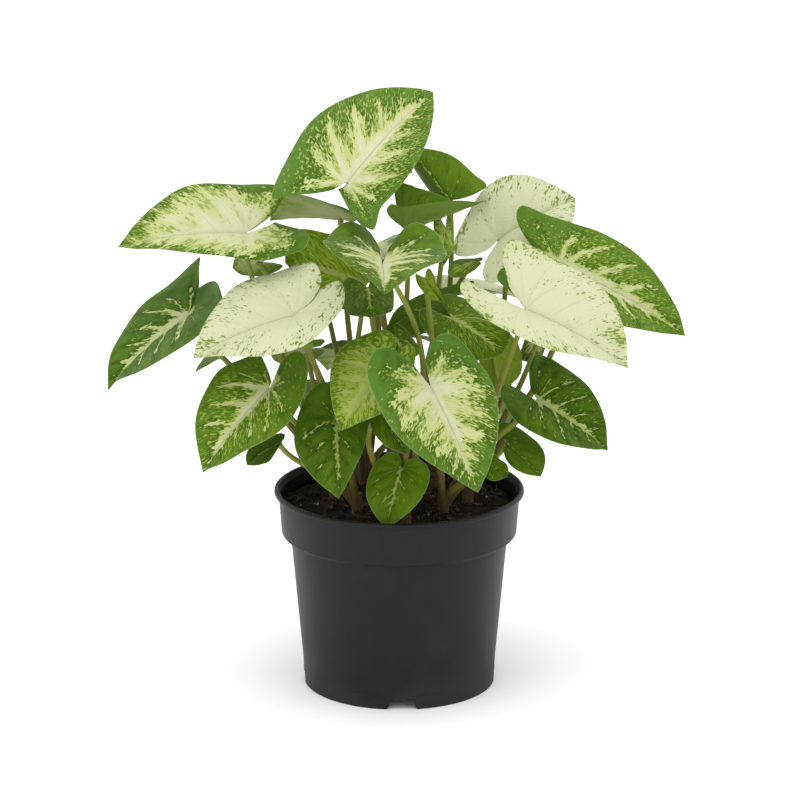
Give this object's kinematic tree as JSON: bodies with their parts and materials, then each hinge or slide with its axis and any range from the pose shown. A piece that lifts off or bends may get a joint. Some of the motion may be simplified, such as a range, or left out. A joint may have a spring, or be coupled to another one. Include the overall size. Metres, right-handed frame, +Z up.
{
  "type": "arrowhead plant",
  "caption": "Potted arrowhead plant: arrow-shaped cream and green leaves on thin stalks, growing from soil in a round tapered nursery pot with a flat foot.",
  "frame": {"origin": "middle of the pot's base, which is also the bottom centre of the whole plant's box", "axes": "+Z up, -Y towards the front, the side with the most open view of the leaves, +X to the right as seen from the front"},
  "size_m": [0.2738, 0.2114, 0.2889],
  "materials": {
    "pot_plastic": "matte charcoal moulded plastic with a soft sheen on the rim",
    "soil": null,
    "leaf": null
  },
  "bodies": {
    "root": {"pot": "pot_plastic", "soil": "soil", "shoot_front_left": "leaf", "shoot_front_right": "leaf", "shoot_left": "leaf", "shoot_right": "leaf", "shoot_centre": "leaf", "shoot_back_left": "leaf", "shoot_back_right": "leaf", "shoot_front": "leaf"}
  },
  "joints": []
}
